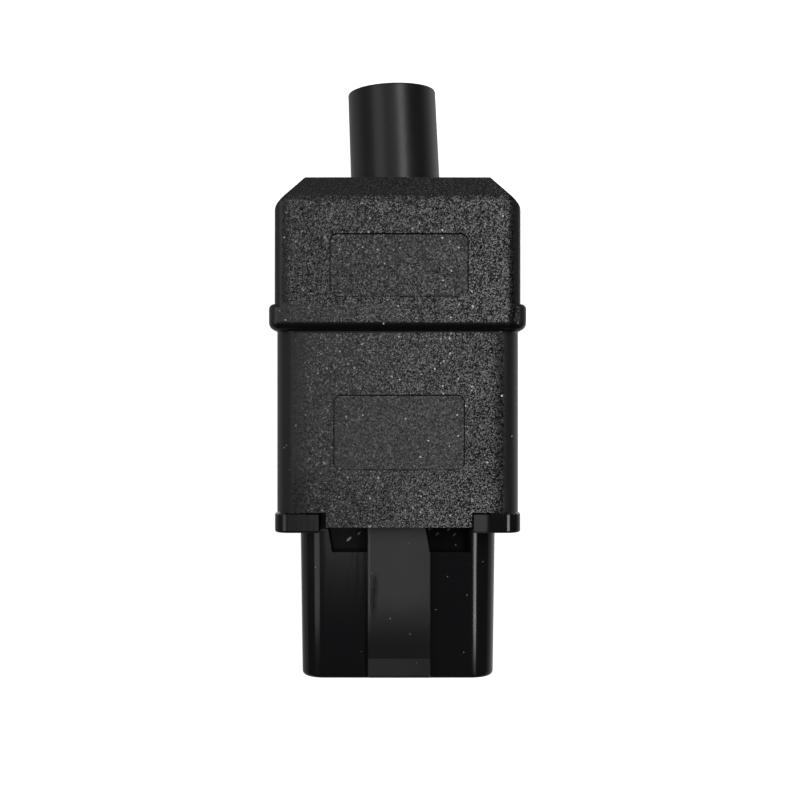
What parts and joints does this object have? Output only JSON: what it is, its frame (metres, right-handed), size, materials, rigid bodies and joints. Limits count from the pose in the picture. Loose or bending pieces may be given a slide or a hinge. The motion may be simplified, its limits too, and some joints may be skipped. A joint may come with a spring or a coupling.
{
  "type": "female power connector",
  "caption": "Rewireable female mains connector with a keyed rectangular nose, flat-blade slots, a screwed two-part housing with a grip ridge, and a round rubber cable boot.",
  "frame": {"origin": "centre of the mating face at the end of the nose", "axes": "+Y along the connector from the nose towards the cord, +Z out of the face with the label panels and the key, +X to the right with the cord end up"},
  "size_m": [0.035, 0.0835, 0.028],
  "materials": {
    "cover_plastic": "coarse spark-textured black",
    "block_plastic": "polished black",
    "boot_rubber": "smooth satin black",
    "clamp_plastic": "plain black",
    "contact_brass": "pressed brass strip",
    "screw_steel": "zinc-plated"
  },
  "bodies": {
    "root": {"front_cover": "cover_plastic", "rear_cover": "cover_plastic", "contact_block": "block_plastic", "cable_boot": "boot_rubber", "cord_clamp": "clamp_plastic", "live_contact": "contact_brass", "neutral_contact": "contact_brass", "earth_contact": "contact_brass", "live_terminal": "contact_brass", "neutral_terminal": "contact_brass", "earth_terminal": "contact_brass", "terminal_screws": "screw_steel", "clamp_screws": "screw_steel", "cover_screws": "screw_steel"}
  },
  "joints": []
}
